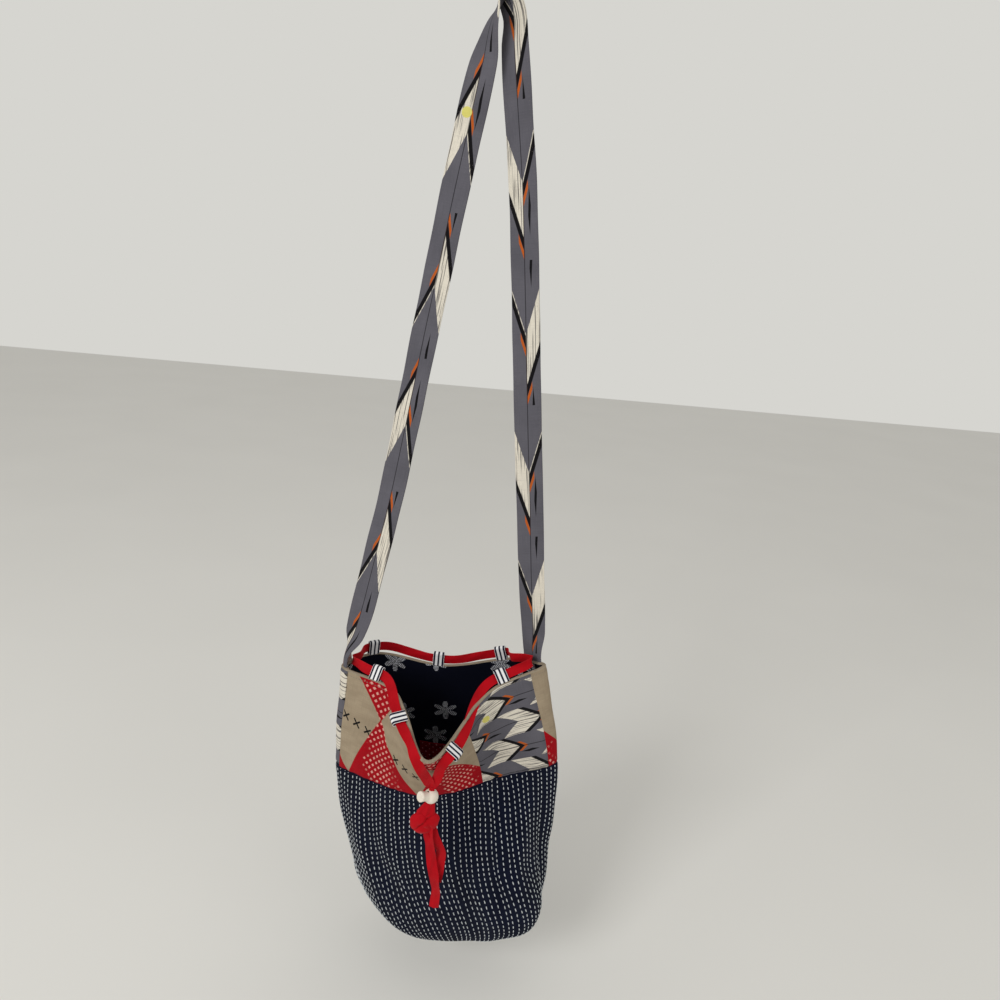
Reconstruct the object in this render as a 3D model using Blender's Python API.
"""Drawstring pouch with a patchwork band, hanging from the top of its long strap.

Every cloth piece is cut flat on a grid of (girth, height, thickness) and then draped:
girth runs once round the pouch from the left strap, through the front, and back again,
height runs up the cloth from the bottom seam to the rim, and thickness points outwards.
Pieces that are cut on the same lines lie against each other with an even gap.
The origin is under the top of the strap, where a hook carries it. +Z is up, -Y the front.
"""

import math

import bmesh
import bpy
import numpy as np
from mathutils import Matrix

# How the pouch hangs under its hook
POUCH_DROP = 0.590
POUCH_SIDE = -0.012
POUCH_FORWARD = 0.029
POUCH_TILT = math.radians(5.2)

# Cloth, and the room between two layers
OUTER_CLOTH = 0.0012
LINING_CLOTH = 0.0007
LAYER_GAP = 0.0013
SEAM_GAP = 0.0003

# Heights along the cloth, from the foot of the pouch
BODY_HEIGHT = 0.178
BAND_HEIGHT = 0.111
UNDER_REACH = 0.015
BOTTOM_REACH = 0.052
RIM = BODY_HEIGHT + BAND_HEIGHT

# Outline at the rim: the front middle is drawn out to a lip by the drawstring
RIM_WIDTH = 0.204
RIM_BACK = 0.035
RIM_SAG = 0.020
LIP_REACH = 0.112
LIP_DROP = 0.034
LIP_SIDE = -0.009

# Outline at the seam under the band, halfway down, and at the foot
SEAM_WIDTH = 0.231
SEAM_FRONT = 0.058
SEAM_BACK = 0.033
MIDDLE_WIDTH = 0.221
MIDDLE_FRONT = 0.058
MIDDLE_BACK = 0.038
MIDDLE_LEVEL = 0.205
FOOT_FRONT_WIDTH = 0.142
FOOT_FRONT_SIDE = 0.018
FOOT_FRONT = 0.050
FOOT_BACK_WIDTH = 0.220
FOOT_BACK_SIDE = -0.007
FOOT_BACK = 0.043
FOOT_LEVEL = 0.288
FOOT_SAG = 0.008
BOTTOM_SEAM = (-0.066, 0.072)
BOTTOM_ROUNDING = 0.86

# Places round the girth, as shares of it
FRONT_SHARE = 0.55
SIDE_SEAM = 0.588
BAND_CUTS = (0.030, 0.371, 0.518, 0.650, 0.780, 0.905)
LOOP_PLACES = (0.086, 0.182, 0.318, 0.472, 0.664, 0.792, 0.925)
GIRTH = 0.555

# Soft folds: place, lean per metre of height, half width (shares), low and high end, depth
FOLDS = (
    (0.385, 0.20, 0.016, 0.000, 0.180, -0.0045),
    (0.345, 0.10, 0.018, -0.005, 0.170, 0.0030),
    (0.430, 0.55, 0.018, 0.005, 0.150, 0.0030),
    (0.140, -0.35, 0.022, 0.000, 0.160, -0.0030),
    (0.085, -0.20, 0.018, 0.020, 0.170, 0.0030),
    (0.235, 0.05, 0.024, 0.010, 0.190, 0.0020),
    (0.500, -0.10, 0.020, 0.010, 0.170, -0.0040),
    (0.640, 0.10, 0.022, 0.010, 0.170, -0.0035),
    (0.720, -0.15, 0.026, 0.010, 0.200, 0.0030),
    (0.800, 0.10, 0.022, 0.000, 0.170, -0.0035),
    (0.885, 0.15, 0.022, 0.010, 0.180, 0.0030),
    (0.150, 0.30, 0.016, 0.190, 0.300, 0.0022),
    (0.410, -0.20, 0.016, 0.190, 0.300, -0.0025),
)

# Grid of the cloth
GIRTH_STEP = 0.029
HEIGHT_STEP = 0.024

# Strap
STRAP_WIDTH = 0.0254
STRAP_THICKNESS = 0.0018
STRAP_TUCK = 0.022
STRAP_LEVELLING = 0.060
STRAP_STEP = 0.014
STRAP_JOIN = 0.262

# Inner pocket
POCKET_GIRTH = (0.680, 0.830)
POCKET_HEIGHT = (0.070, 0.178)
POCKET_GAPE = 0.005

# Ribbon loops and the drawstring ribbon
LOOP_WIDTH = 0.0105
LOOP_CLOTH = 0.0006
LOOP_HEIGHT = 0.0140
LOOP_HALF_GAP = 0.0019
LOOP_SEAT = 0.0006
RIBBON_WIDTH = 0.0092
RIBBON_CLOTH = 0.0007
RIBBON_RISE = 0.0072
TURN_INSET = 0.009
STRAND_SHIFT = 0.032
STRAND_FALL = 0.006
STRAND_OUT = 0.0085

# Bead on the drawstring, its travel, and the knot under it
BEAD_PLACE = (-0.0094, -0.1240, -0.6707)
NECK_LEAN = (-0.055, 0.060)
BEAD_RADIUS = 0.0068
BEAD_BORE = 0.0031
SNOUT_REACH = 0.0135
SNOUT_RADIUS = 0.0048
SNOUT_NECK = 0.0030
SNOUT_THICKNESS = 0.0024
SNOUT_YAW = math.radians(50)
SNOUT_PITCH = math.radians(22)
BEAD_RISE = 0.0015
BEAD_DROP = 0.0100
NECK_HALF_WIDTH = 0.0024
NECK_HALF_THICKNESS = 0.0012
KNOT_SIZE = (0.0200, 0.0090, 0.0150)
TAIL_LENGTHS = (0.098, 0.070)

# Colours: name, colour, roughness
CLOTHS = {
    "indigo": ((0.012, 0.022, 0.055), 0.90),
    "linen": ((0.400, 0.330, 0.240), 0.90),
    "grey_print": ((0.150, 0.145, 0.150), 0.90),
    "red_print": ((0.400, 0.020, 0.030), 0.90),
    "lining": ((0.008, 0.010, 0.025), 0.90),
    "loop_stripe": ((0.450, 0.450, 0.500), 0.70),
    "red_ribbon": ((0.450, 0.010, 0.020), 0.60),
    "white_bead": ((0.750, 0.700, 0.600), 0.50),
}


def clear_scene():
    for old in list(bpy.data.objects):
        bpy.data.objects.remove(old, do_unlink=True)


def finish_of(name):
    """The finish of one cloth, made the first time it is asked for."""
    found = bpy.data.materials.get(name)
    if found:
        return found
    colour, roughness = CLOTHS[name]
    made = bpy.data.materials.new(name)
    made.use_nodes = True
    shader = made.node_tree.nodes["Principled BSDF"]
    shader.inputs["Base Color"].default_value = (*colour, 1)
    shader.inputs["Roughness"].default_value = roughness
    shader.inputs["Metallic"].default_value = 0
    return made


def unit(v):
    v = np.asarray(v, float)
    return v / np.linalg.norm(v, axis=-1, keepdims=True)


def through(knots, values, places):
    """Reads a smooth curve through values at knots. Values may differ for each place."""
    knots = np.asarray(knots, float)
    slopes = np.gradient(values, knots, axis=0)
    before = np.clip(np.searchsorted(knots, places, side="right") - 1, 0, len(knots) - 2)
    span = knots[before + 1] - knots[before]
    u = ((places - knots[before]) / span)[:, None]
    span = span[:, None]
    if values.ndim == 3:
        own = np.arange(len(places))
        a, b = values[before, own], values[before + 1, own]
        slope_a, slope_b = slopes[before, own], slopes[before + 1, own]
    else:
        a, b = values[before], values[before + 1]
        slope_a, slope_b = slopes[before], slopes[before + 1]
    return (
        (2 * u**3 - 3 * u**2 + 1) * a
        + (u**3 - 2 * u**2 + u) * span * slope_a
        + (3 * u**2 - 2 * u**3) * b
        + (u**3 - u**2) * span * slope_b
    )


def distances(points):
    """How far each point of a line is from its start."""
    return np.concatenate([[0], np.cumsum(np.linalg.norm(np.diff(points, axis=0), axis=1))])


def outline(corners):
    """A closed outline through eight corners, read evenly from left to right and back."""
    corners = np.array(corners, float)
    looped = np.vstack([corners[-3:], corners, corners[:4]])
    along = distances(looped)
    fine = through(along, looped, np.linspace(along[3], along[11], 481))
    halves = []
    split = int(np.argmin(np.linalg.norm(fine - corners[4], axis=1)))
    for half in (fine[: split + 1], fine[split:]):
        spread = distances(half)
        places = np.linspace(0, spread[-1], 161)
        halves.append(np.column_stack([np.interp(places, spread, half[:, k]) for k in range(3)]))
    return np.vstack([halves[0], halves[1][1:]])


def outlines():
    """The outlines from the bottom seam up, in the pouch's own frame, with their heights."""
    rim, seam, middle = RIM_WIDTH / 2, SEAM_WIDTH / 2, MIDDLE_WIDTH / 2
    rim_outline = outline([
        (-rim, 0, 0),
        (-0.44 * rim, -0.42 * LIP_REACH, -0.1 * LIP_DROP),
        (LIP_SIDE, -LIP_REACH, -LIP_DROP),
        (0.50 * rim, -0.18 * LIP_REACH, -0.42 * LIP_DROP),
        (rim, 0, -0.2 * LIP_DROP),
        (0.72 * rim, 0.86 * RIM_BACK, -0.5 * RIM_SAG),
        (-0.02 * rim, RIM_BACK, -RIM_SAG),
        (-0.76 * rim, 0.86 * RIM_BACK, -0.2 * RIM_SAG),
    ])
    seam_outline = outline([
        (-seam, 0, -BAND_HEIGHT),
        (-0.57 * seam, -0.69 * SEAM_FRONT, -BAND_HEIGHT),
        (-0.12 * seam, -SEAM_FRONT, -BAND_HEIGHT),
        (0.50 * seam, -0.48 * SEAM_FRONT, -BAND_HEIGHT),
        (seam, 0, -BAND_HEIGHT),
        (0.76 * seam, 0.85 * SEAM_BACK, -BAND_HEIGHT),
        (0, SEAM_BACK, -BAND_HEIGHT),
        (-0.79 * seam, 0.82 * SEAM_BACK, -BAND_HEIGHT),
    ])
    middle_outline = outline([
        (-middle, 0, -MIDDLE_LEVEL),
        (-0.70 * middle, -0.70 * MIDDLE_FRONT, -MIDDLE_LEVEL),
        (-0.04 * middle, -MIDDLE_FRONT, -MIDDLE_LEVEL),
        (0.70 * middle, -0.72 * MIDDLE_FRONT, -MIDDLE_LEVEL),
        (0.98 * middle, 0, -MIDDLE_LEVEL),
        (0.82 * middle, 0.84 * MIDDLE_BACK, -MIDDLE_LEVEL),
        (-0.04 * middle, MIDDLE_BACK, -MIDDLE_LEVEL),
        (-0.88 * middle, 0.89 * MIDDLE_BACK, -MIDDLE_LEVEL),
    ])
    front, back = FOOT_FRONT_WIDTH / 2, FOOT_BACK_WIDTH / 2
    foot = np.array([
        (FOOT_BACK_SIDE - 0.80 * back, -0.12 * FOOT_FRONT, -FOOT_LEVEL),
        (FOOT_FRONT_SIDE - front, -0.92 * FOOT_FRONT, -FOOT_LEVEL - 0.1 * FOOT_SAG),
        (FOOT_FRONT_SIDE, -FOOT_FRONT, -FOOT_LEVEL - FOOT_SAG),
        (FOOT_FRONT_SIDE + front, -0.94 * FOOT_FRONT, -FOOT_LEVEL + 1.2 * FOOT_SAG),
        (FOOT_BACK_SIDE + 1.01 * back, -0.04 * FOOT_FRONT, -FOOT_LEVEL + 0.4 * FOOT_SAG),
        (FOOT_BACK_SIDE + back, 0.79 * FOOT_BACK, -FOOT_LEVEL - 0.4 * FOOT_SAG),
        (FOOT_BACK_SIDE, FOOT_BACK, -FOOT_LEVEL - FOOT_SAG),
        (FOOT_BACK_SIDE - back, 0.88 * FOOT_BACK, -FOOT_LEVEL - 0.1 * FOOT_SAG),
    ])
    middle_of_foot = foot.mean(axis=0)
    under = middle_of_foot + (foot - middle_of_foot) * BOTTOM_ROUNDING
    under[:, 2] = foot[:, 2] - UNDER_REACH / 2
    places = np.linspace(0, 1, 321)
    left, right = BOTTOM_SEAM
    front_part = places <= SIDE_SEAM
    across = np.where(front_part, places / SIDE_SEAM, (1 - places) / (1 - SIDE_SEAM))
    seam_line = np.column_stack([
        left + (right - left) * across,
        np.where(front_part, -SEAM_GAP, SEAM_GAP),
        np.full(321, under[:, 2].mean() - UNDER_REACH / 4),
    ])
    shapes = [seam_line, outline(under), outline(foot), middle_outline, seam_outline, rim_outline]
    middle_height = BODY_HEIGHT * (FOOT_LEVEL - MIDDLE_LEVEL) / (FOOT_LEVEL - BAND_HEIGHT)
    heights = [-BOTTOM_REACH, -UNDER_REACH, 0, middle_height, BODY_HEIGHT, RIM]
    return np.array(shapes), np.array(heights)


SHAPES, HEIGHTS = outlines()


def girth_table():
    """The shares of the girth at which the outlines are stored."""
    front = np.linspace(0, FRONT_SHARE, 161)
    return np.concatenate([front, np.linspace(FRONT_SHARE, 1, 161)[1:]])


GIRTH_PLACES = girth_table()


def plain_skin(s, h):
    """The outer face of the pouch without its folds, in the pouch's own frame."""
    s = s % 1.0
    rings = np.stack([
        np.column_stack([np.interp(s, GIRTH_PLACES, shape[:, k]) for k in range(3)])
        for shape in SHAPES
    ])
    inside = np.clip(h, HEIGHTS[0], RIM)
    slope = (rings[-1] - rings[-2]) / BAND_HEIGHT
    return through(HEIGHTS, rings, inside) + np.maximum(h - RIM, 0)[:, None] * slope


def across_skin(skin, s, h):
    """The outward direction of a skin, from its slopes along girth and height."""
    step = 0.002
    h = np.minimum(h, RIM)
    along = skin(s + step, h) - skin(s - step, h)
    up = skin(s, h + step) - skin(s, h - step)
    normal = unit(np.cross(along, up))
    flat = np.clip(-h / UNDER_REACH, 0, 1)[:, None]
    return unit(normal * (1 - flat) + np.array([0, 0, -1]) * flat)


def fold_depth(s, h):
    """How far the soft folds lift the cloth at each place."""
    total = np.zeros_like(s)
    for place, lean, width, low, high, depth in FOLDS:
        line = place + lean * (h - (low + high) / 2)
        away = (s - line + 0.5) % 1.0 - 0.5
        share = np.clip((h - low) / (high - low), 0, 1)
        total += depth * np.exp(-((away / width) ** 2)) * np.sin(math.pi * share) ** 0.8
    return total


def folded_skin(s, h):
    return plain_skin(s, h) + fold_depth(s, h)[:, None] * across_skin(plain_skin, s, h)


def hang(points):
    """Turns and moves points from the pouch's own frame to where it hangs."""
    x, y, z = points.T
    cos, sin = math.cos(POUCH_TILT), math.sin(POUCH_TILT)
    return np.column_stack([
        x * cos - z * sin + POUCH_SIDE,
        y - POUCH_FORWARD,
        x * sin + z * cos - POUCH_DROP,
    ])


def drape(s, h, t):
    """Places flat cloth on the pouch: t is the distance outside its outer face."""
    return hang(folded_skin(s, h) + t[:, None] * across_skin(folded_skin, s, h))


def strap_room(s, h):
    """How far the lining stands back where a strap end is sewn in behind the rim."""
    depth = np.zeros_like(s)
    for place in (0.0, SIDE_SEAM):
        away = np.abs((s - place + 0.5) % 1.0 - 0.5) * GIRTH
        beside = np.clip((STRAP_WIDTH / 2 + 0.0045 - away) / 0.0035, 0, 1)
        above = np.clip((h - (RIM - STRAP_TUCK - 0.008)) / 0.006, 0, 1)
        depth = np.maximum(depth, (STRAP_THICKNESS + SEAM_GAP) * beside * above)
    return depth


def drape_inside(s, h, t):
    """Places lining cloth: t is the distance outside the lining's own outer face."""
    return drape(s, h, t - OUTER_CLOTH - LAYER_GAP - strap_room(s, h))


def lines_between(low, high, step, fixed):
    """Cutting lines from low to high: every fixed line, and even lines between them."""
    stops = sorted({low, high, *[f for f in fixed if low < f < high]})
    lines = [low]
    for a, b in zip(stops, stops[1:]):
        parts = max(1, math.ceil((b - a) / step - 1e-9))
        lines += [a + (b - a) * k / parts for k in range(1, parts + 1)]
    return lines


def edge_lines():
    """Lines that every layer is cut on: band seams, side seams, strap ends, pocket."""
    half = STRAP_WIDTH / 2 / GIRTH
    fixed = {1.0, SIDE_SEAM, *BAND_CUTS, *POCKET_GIRTH}
    for place in (0.0, SIDE_SEAM, 1.0):
        fixed |= {place - half, place + half, place - 0.0045 / GIRTH - half, place + 0.0045 / GIRTH + half}
    fixed |= {f - 1 for f in list(fixed)} | {f + 1 for f in list(fixed)}
    return fixed


ACROSS = edge_lines()
UPWARDS = {-UNDER_REACH, 0.0, BODY_HEIGHT, RIM - STRAP_TUCK - 0.008, *POCKET_HEIGHT}


def add_object(name, bm, finish):
    mesh = bpy.data.meshes.new(name)
    bm.to_mesh(mesh)
    bm.free()
    mesh.shade_smooth()
    mesh.set_sharp_from_angle(angle=math.radians(50))
    made = bpy.data.objects.new(name, mesh)
    bpy.context.scene.collection.objects.link(made)
    made.data.materials.append(finish_of(finish))
    return made


def flat_cloth(girths, heights, inner, outer):
    """A flat piece cut on the given lines, with its thickness from inner to outer."""
    bm = bmesh.new()
    bmesh.ops.create_grid(bm, x_segments=len(girths) - 1, y_segments=len(heights) - 1, size=1)
    for v in bm.verts:
        column = round((v.co.x + 1) / 2 * (len(girths) - 1))
        row = round((v.co.y + 1) / 2 * (len(heights) - 1))
        v.co = (girths[column], heights[row], inner)
    bmesh.ops.triangulate(bm, faces=bm.faces[:], quad_method="FIXED")
    raised = bmesh.ops.extrude_face_region(bm, geom=bm.faces[:])
    for v in [v for v in raised["geom"] if isinstance(v, bmesh.types.BMVert)]:
        v.co.z = outer
    bmesh.ops.recalc_face_normals(bm, faces=bm.faces[:])
    return bm


def place_cloth(bm, place):
    """Moves every corner of flat cloth to where the given rule puts it."""
    flat = np.array([v.co for v in bm.verts], float)
    for v, spot in zip(bm.verts, place(flat[:, 0], flat[:, 1], flat[:, 2])):
        v.co = spot


def panel(name, girth, height, inner, outer, place, finish):
    """One cloth panel, trimmed by half a seam gap on each side."""
    trim = SEAM_GAP / 2 / 0.5
    girths = lines_between(*girth, GIRTH_STEP, ACROSS)
    heights = lines_between(*height, HEIGHT_STEP, UPWARDS)
    girths[0] += trim
    girths[-1] -= trim
    heights[0] += SEAM_GAP / 2
    if height[1] < RIM:
        heights[-1] -= SEAM_GAP / 2
    bm = flat_cloth(girths, heights, inner, outer)
    place_cloth(bm, place)
    return add_object(name, bm, finish)


def body_and_band():
    bottom = -BOTTOM_REACH
    for name, girth in (("lower_front", (0, SIDE_SEAM)), ("lower_back", (SIDE_SEAM, 1))):
        panel(name, girth, (bottom, BODY_HEIGHT), -OUTER_CLOTH, 0, drape, "indigo")
    names = ("band_front_left", "band_front_right", "band_right", "band_back_right",
             "band_back_left", "band_left")
    finishes = ("linen", "grey_print", "red_print", "linen", "red_print", "grey_print")
    ends = (*BAND_CUTS, 1 + BAND_CUTS[0])
    for name, finish, low, high in zip(names, finishes, ends, ends[1:]):
        panel(name, (low, high), (BODY_HEIGHT, RIM), -OUTER_CLOTH, 0, drape, finish)


def lining_and_pocket():
    top = RIM - 0.0008
    for name, girth in (("lining_front", (0, SIDE_SEAM)), ("lining_back", (SIDE_SEAM, 1))):
        panel(name, girth, (-BOTTOM_REACH, top), -LINING_CLOTH, 0, drape_inside, "lining")

    def pocket_place(s, h, t):
        left, right = POCKET_GIRTH
        low, high = POCKET_HEIGHT
        belly = np.sin(math.pi * (s - left) / (right - left)) * ((h - low) / (high - low)) ** 2
        return drape_inside(s, h, t - LINING_CLOTH - SEAM_GAP - POCKET_GAPE * np.clip(belly, 0, 1))

    panel("inner_pocket", POCKET_GIRTH, POCKET_HEIGHT, -LINING_CLOTH, 0, pocket_place, "red_print")


def at(s, h, t=0.0):
    """One point on the pouch."""
    return drape(np.array([s % 1.0]), np.array([h]), np.array([t]))[0]


class Route:
    """A ribbon's route: a smooth line with a width and an outward direction at each place."""

    def __init__(self, points, outward):
        points = np.array(points, float)
        self.knots = distances(points)
        self.points = points
        self.outward = np.array(outward, float)
        fine = through(self.knots, points, np.linspace(0, self.knots[-1], 2000))
        self.along = distances(fine)
        self.fine = np.linspace(0, self.knots[-1], 2000)
        self.length = self.along[-1]

    def frame(self, places):
        """Centre, forward, across and outward directions at distances along the route."""
        where = np.interp(places, self.along, self.fine)
        centre = through(self.knots, self.points, where)
        ahead = unit(through(self.knots, self.points, np.minimum(where + 1e-4, self.knots[-1]))
                     - through(self.knots, self.points, np.maximum(where - 1e-4, 0)))
        out = through(self.knots, self.outward, where)
        out = unit(out - (out * ahead).sum(axis=1)[:, None] * ahead)
        return centre, ahead, np.cross(out, ahead), out

    def ribbon(self, places, across, out):
        """Places flat ribbon along the route."""
        centre, _, side, outward = self.frame(places)
        return centre + across[:, None] * side + out[:, None] * outward


# Strap centre line, hand placed up the left run, over the hook and down the right run
STRAP_LEFT_RUN = ((-0.0995, -0.028, -0.555), (-0.0890, -0.026, -0.505), (-0.0725, -0.021, -0.418),
                  (-0.0560, -0.015, -0.310), (-0.0400, -0.010, -0.205), (-0.0260, -0.006, -0.115),
                  (-0.0150, -0.002, -0.050), (-0.0080, 0.000, -0.012))
STRAP_RIGHT_RUN = ((0.0060, 0.000, -0.010), (0.0095, -0.001, -0.035), (0.0165, -0.004, -0.080),
                   (0.0270, -0.008, -0.150), (0.0370, -0.011, -0.235), (0.0500, -0.016, -0.350),
                   (0.0590, -0.018, -0.425), (0.0665, -0.018, -0.490), (0.0735, -0.016, -0.545))

# How far the strap is turned from edge-on towards the front, at shares of its length
STRAP_TURN = ((0.00, 0), (0.05, 32), (0.12, 60), (0.30, 56), (0.42, 42), (0.465, 12), (0.50, 0),
              (0.535, -14), (0.60, -55), (0.72, -72), (0.86, -86), (0.95, -76), (1.00, -50))


def strap_route():
    """The strap's route between its two rim ends, with the outer face it shows."""
    start, end = at(0, RIM, -OUTER_CLOTH - SEAM_GAP / 2), at(SIDE_SEAM, RIM, -OUTER_CLOTH - SEAM_GAP / 2)
    crown = (-0.0010, 0.0, STRAP_THICKNESS / 2 + SEAM_GAP)
    points = np.array([start, *STRAP_LEFT_RUN, crown, *STRAP_RIGHT_RUN, end])
    along = distances(points)
    turns = np.radians(np.interp(along / along[-1], *zip(*STRAP_TURN)))
    ahead = unit(np.gradient(points, along, axis=0))
    outward = []
    for direction, turn in zip(ahead, turns):
        across = unit(np.array([0, -1, 0]) - direction * np.dot(direction, (0, -1, 0)))
        other = np.cross(direction, across)
        width = across * math.cos(turn) + other * math.sin(turn)
        outward.append(np.cross(width, direction))
    return Route(points, outward)


def strap():
    """Both strap lengths. Each end is sewn in behind the rim and flattens above it."""
    route = strap_route()
    total = route.length

    def place(distance, across, out):
        """Distance is measured from the left rim end, below 0 and past total when tucked in."""
        inside = np.clip(distance, 0, total)
        free = route.ribbon(inside, across, out)
        left = distance < total / 2
        rise = np.where(left, distance, total - distance)
        s = np.where(left, 0.0, SIDE_SEAM) + np.where(left, -across, across) / GIRTH
        tucked = drape(s, RIM + rise, out - OUTER_CLOTH - SEAM_GAP - STRAP_THICKNESS / 2)
        share = np.clip(rise / STRAP_LEVELLING, 0, 1)[:, None]
        share = share * share * (3 - 2 * share)
        return tucked * (1 - share) + free * share

    half = STRAP_WIDTH / 2
    widths = [-half, 0, half]
    parts = (("strap_left", -STRAP_TUCK, STRAP_JOIN - SEAM_GAP / 2),
             ("strap_right", STRAP_JOIN + SEAM_GAP / 2, total + STRAP_TUCK))
    for name, low, high in parts:
        fixed = {0.0, total}
        lengths = lines_between(low, high, STRAP_STEP, fixed)
        bm = flat_cloth(lengths, widths, -STRAP_THICKNESS / 2, STRAP_THICKNESS / 2)
        place_cloth(bm, place)
        add_object(name, bm, "grey_print")


def rim_frame(s, rise):
    """A point above the rim, with the directions along the rim, up and out."""
    step = 0.004
    here, beside = at(s, RIM + rise, -OUTER_CLOTH), at(s + step, RIM + rise, -OUTER_CLOTH)
    above = at(s, RIM + rise + step, -OUTER_CLOTH)
    along = unit(beside - here)
    up = above - here
    up = unit(up - along * np.dot(up, along))
    return here, along, up, np.cross(along, up)


def loops():
    """Seven loops of striped ribbon, each bent over the drawstring and standing on the rim."""
    leg = LOOP_HEIGHT - LOOP_HALF_GAP - LOOP_CLOTH / 2
    bend = LOOP_HALF_GAP + LOOP_CLOTH / 2
    arc = math.pi * bend
    length = 2 * leg + arc
    steps = [0, leg / 2, leg] + [leg + arc * k / 6 for k in range(1, 7)] + [leg + arc + leg / 2, length]

    def bent(u):
        """Outward and upward place of the ribbon's middle, and its outward normal."""
        turn = np.clip((u - leg) / bend, 0, math.pi)
        rise = np.where(u < leg, u, np.where(u > leg + arc, length - u, leg))
        return bend * np.cos(turn), rise + bend * np.sin(turn), np.cos(turn), np.sin(turn)

    for number, s in enumerate(LOOP_PLACES, 1):
        here, along, up, out = rim_frame(s, LOOP_SEAT)

        def place(u, w, t):
            side, rise, normal_out, normal_up = bent(u)
            side, rise = side + t * normal_out, rise + t * normal_up
            return here + np.outer(side, out) + np.outer(rise, up) - np.outer(w, along)

        half = LOOP_WIDTH / 2
        bm = flat_cloth(steps, [-half, 0, half], -LOOP_CLOTH / 2, LOOP_CLOTH / 2)
        place_cloth(bm, place)
        add_object(f"loop_{number}", bm, "loop_stripe")


def neck_frame():
    """The line that the ribbon's neck and the bead share: its middle and its directions."""
    down = unit([NECK_LEAN[0], NECK_LEAN[1], -1])
    side = unit(np.cross(down, (0, -1, 0)))
    return np.array(BEAD_PLACE), down, side, np.cross(side, down)


def ribbon_route():
    """The drawstring's route in the loops, from the neck round the mouth to the neck."""
    middle, down, side, front = neck_frame()
    top = middle - down * (BEAD_RADIUS + BEAD_RISE + 0.0005)
    order = [2, 3, "right", 4, 5, 6, "left", 0, 1]
    points, outward = [], []
    for stop in order:
        if stop == "right":
            turns, inset, through_loop = (0.530, SIDE_SEAM, 0.635), TURN_INSET, (0,)
        elif stop == "left":
            turns, inset, through_loop = (0.970, 1.0, 0.028), TURN_INSET, (0,)
        else:
            turns, inset, through_loop = (LOOP_PLACES[stop],), 0, (-0.75, 0.75)
        for s in turns:
            here, along, up, out = rim_frame(s, RIBBON_RISE + LOOP_SEAT)
            for share in through_loop:
                points.append(here - out * inset + along * (share * LOOP_WIDTH))
                outward.append(out)
    over = []
    for s, towards in ((LOOP_PLACES[2], -1), (LOOP_PLACES[1], 1)):
        here, along, up, out = rim_frame(s + towards * STRAND_SHIFT, -STRAND_FALL)
        over.append((here + out * (OUTER_CLOTH + STRAND_OUT), out))
    (right, right_out), (left, left_out) = over
    ply = front * RIBBON_CLOTH * 0.8
    points = [top + ply, right, *points, left, top - ply]
    outward = [front, unit(front + right_out), *outward, unit(front + left_out), front]
    return Route(points, outward)


def ribbon_strip(name, route, widths_at, thickness, step):
    """A strip of ribbon along a route, with its width read from (distance, width) stops."""
    lengths = lines_between(0, route.length, step, ())
    bm = flat_cloth(lengths, [-0.5, 0, 0.5], -thickness / 2, thickness / 2)
    stops, sizes = zip(*widths_at)
    place_cloth(bm, lambda d, w, t: route.ribbon(d, w * np.interp(d, stops, sizes), t))
    return add_object(name, bm, "red_ribbon")


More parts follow.
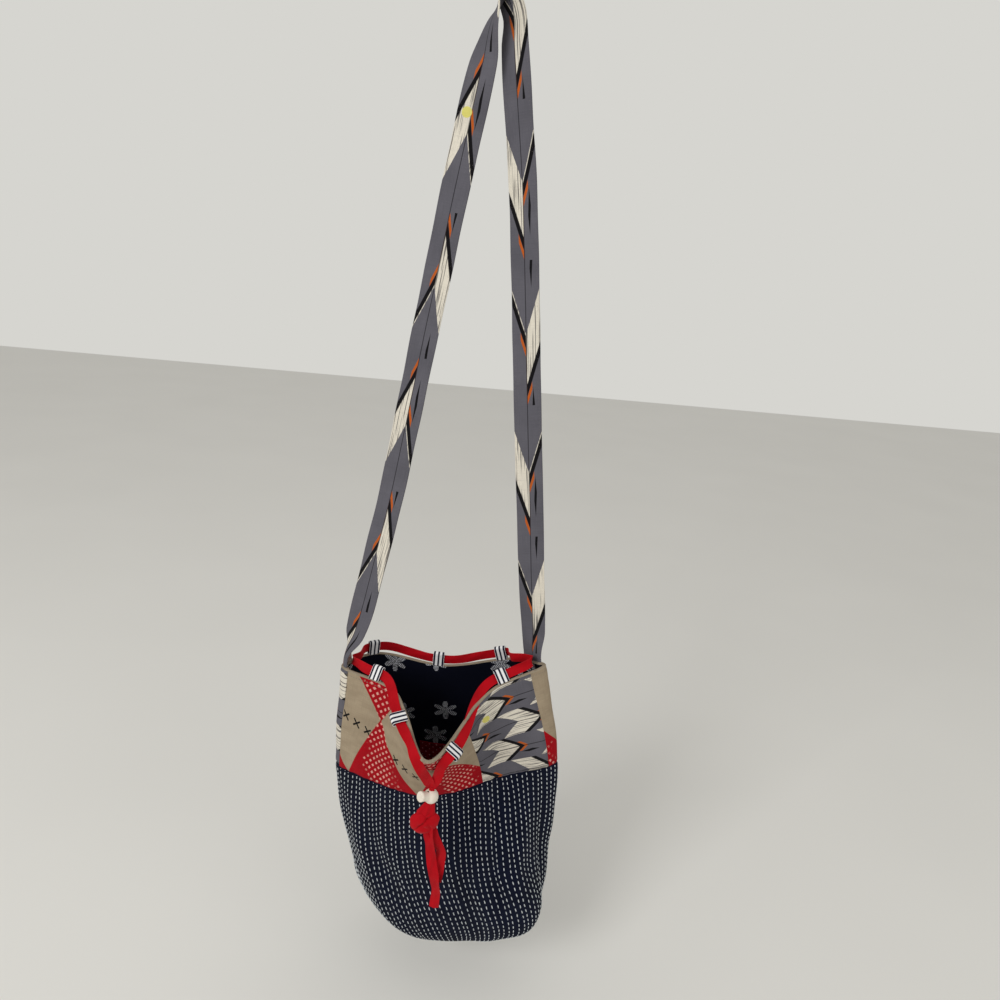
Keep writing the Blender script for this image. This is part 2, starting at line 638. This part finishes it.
def drawstring():
    """One ribbon: round the mouth, through the bead as a neck, into a knot with two tails."""
    middle, down, side, front = neck_frame()
    route = ribbon_route()
    narrow, full = 2 * NECK_HALF_WIDTH * 0.9, RIBBON_WIDTH
    widths = ((0, narrow), (0.014, full), (route.length - 0.014, full), (route.length, narrow))
    ring = ribbon_strip("drawstring", route, widths, RIBBON_CLOTH, 0.012)

    knot_middle = middle + down * (BEAD_RADIUS + BEAD_DROP + 0.0006 + KNOT_SIZE[2] / 2)
    top = middle - down * (BEAD_RADIUS + BEAD_RISE + 0.0015)
    neck = bmesh.new()
    bmesh.ops.create_cone(neck, cap_ends=True, segments=12, radius1=1, radius2=1, depth=1)
    for v in neck.verts:
        centre = (top + knot_middle) / 2 + down * (v.co.z * np.linalg.norm(knot_middle - top))
        v.co = centre + side * (v.co.x * NECK_HALF_WIDTH) + front * (v.co.y * NECK_HALF_THICKNESS)
    bmesh.ops.recalc_face_normals(neck, faces=neck.faces[:])

    pillow = bmesh.new()
    bmesh.ops.create_icosphere(pillow, subdivisions=2, radius=0.5)
    wide, deep, tall = KNOT_SIZE
    for v in pillow.verts:
        x, y, z = v.co
        crease = 1 - 0.35 * math.exp(-((x + 0.10 - 0.5 * z) / 0.10) ** 2)
        corner = 1 + 0.35 * abs(x * z) * 4
        v.co = (knot_middle + side * (x * wide * corner) + front * (y * deep * crease)
                + down * (-z * tall * corner + 0.0025 * x / 0.5))
    bmesh.ops.recalc_face_normals(pillow, faces=pillow.faces[:])

    joined = [add_object("neck_part", neck, "red_ribbon"), add_object("knot_part", pillow, "red_ribbon")]
    tails = (
        ((0.000, 0.0005), (0.003, 0.0015), (0.010, 0.0030), (0.006, 0.0010), (0.013, 0.0020)),
        ((0.001, -0.0016), (0.006, -0.0010), (0.017, -0.0015), (0.014, -0.0020), (0.017, -0.0030)),
    )
    twists = ((0.1, 0.5, -0.5, 0.6, 0.1), (-0.3, -0.6, 0.4, -0.2, 0.3))
    for number, (shifts, twist, length) in enumerate(zip(tails, twists, TAIL_LENGTHS)):
        points, outward = [], []
        for k, ((shift, lift), turn) in enumerate(zip(shifts, twist)):
            fall = KNOT_SIZE[2] * 0.25 + length * k / (len(shifts) - 1)
            points.append(knot_middle + (0, 0, -fall) + side * shift + front * lift)
            outward.append(front * math.cos(turn) + side * math.sin(turn))
        tail = Route(points, outward)
        ends = ((0, 0.007), (0.010, 0.0095), (tail.length, RIBBON_WIDTH))
        joined.append(ribbon_strip(f"tail_part_{number}", tail, ends, RIBBON_CLOTH * 1.2, 0.010))
    for part in joined:
        part.hide_render = True
        part.display_type = "WIRE"
        union = ring.modifiers.new(part.name, "BOOLEAN")
        union.operation = "UNION"
        union.object = part
        union.solver = "EXACT"


def bead():
    """A turned bead with a flat snout, bored for the ribbon, with two small pits."""
    middle, down, side, front = neck_frame()
    profile = [(0, -BEAD_RADIUS)]
    start = math.asin(SNOUT_NECK / BEAD_RADIUS)
    for k in range(1, 11):
        angle = math.pi - (math.pi - start) * k / 10
        profile.append((BEAD_RADIUS * math.sin(angle), BEAD_RADIUS * math.cos(angle)))
    disc = SNOUT_REACH - SNOUT_THICKNESS
    profile += [(SNOUT_NECK, disc - 0.0004), (SNOUT_RADIUS * 0.9, disc),
                (SNOUT_RADIUS, disc + SNOUT_THICKNESS * 0.4),
                (SNOUT_RADIUS * 0.9, SNOUT_REACH), (0, SNOUT_REACH)]
    bm = bmesh.new()
    verts = [bm.verts.new((r, 0, z)) for r, z in profile]
    edges = [bm.edges.new(pair) for pair in zip(verts, verts[1:])]
    bmesh.ops.spin(bm, geom=[*verts, *edges], axis=(0, 0, 1), cent=(0, 0, 0), steps=20,
                   angle=math.tau, use_merge=True)
    bmesh.ops.remove_doubles(bm, verts=bm.verts[:], dist=1e-6)
    bmesh.ops.recalc_face_normals(bm, faces=bm.faces[:])
    level = side * math.sin(SNOUT_YAW) + front * math.cos(SNOUT_YAW)
    snout = level * math.cos(SNOUT_PITCH) - down * math.sin(SNOUT_PITCH)
    across = unit(np.cross(down, snout))
    other = np.cross(snout, across)
    for v in bm.verts:
        x, y, z = v.co
        v.co = across * x + other * y + snout * z
    ball = add_object("bead", bm, "white_bead")
    ball.location = middle

    cutter = bmesh.new()
    bmesh.ops.create_cone(cutter, cap_ends=True, segments=16, radius1=BEAD_BORE, radius2=BEAD_BORE,
                          depth=4 * BEAD_RADIUS)
    for v in cutter.verts:
        x, y, z = v.co
        v.co = side * x + front * y + down * z
    bmesh.ops.recalc_face_normals(cutter, faces=cutter.faces[:])
    cutters = [add_object("bore_cutter", cutter, "white_bead")]
    for number, lift in enumerate((-1, 1)):
        pit = bmesh.new()
        bmesh.ops.create_icosphere(pit, subdivisions=1, radius=0.0009)
        cutters.append(add_object(f"pit_cutter_{number}", pit, "white_bead"))
        aim = unit(snout + down * lift * 0.85 + across * 0.15)
        cutters[-1].data.transform(Matrix.Translation(aim * (BEAD_RADIUS - 0.0001)))
    for part in cutters:
        part.location = middle
        part.hide_render = True
        part.display_type = "WIRE"
        cut = ball.modifiers.new(part.name, "BOOLEAN")
        cut.operation = "DIFFERENCE"
        cut.object = part
        cut.solver = "EXACT"


def main():
    clear_scene()
    body_and_band()
    lining_and_pocket()
    strap()
    loops()
    drawstring()
    bead()


main()
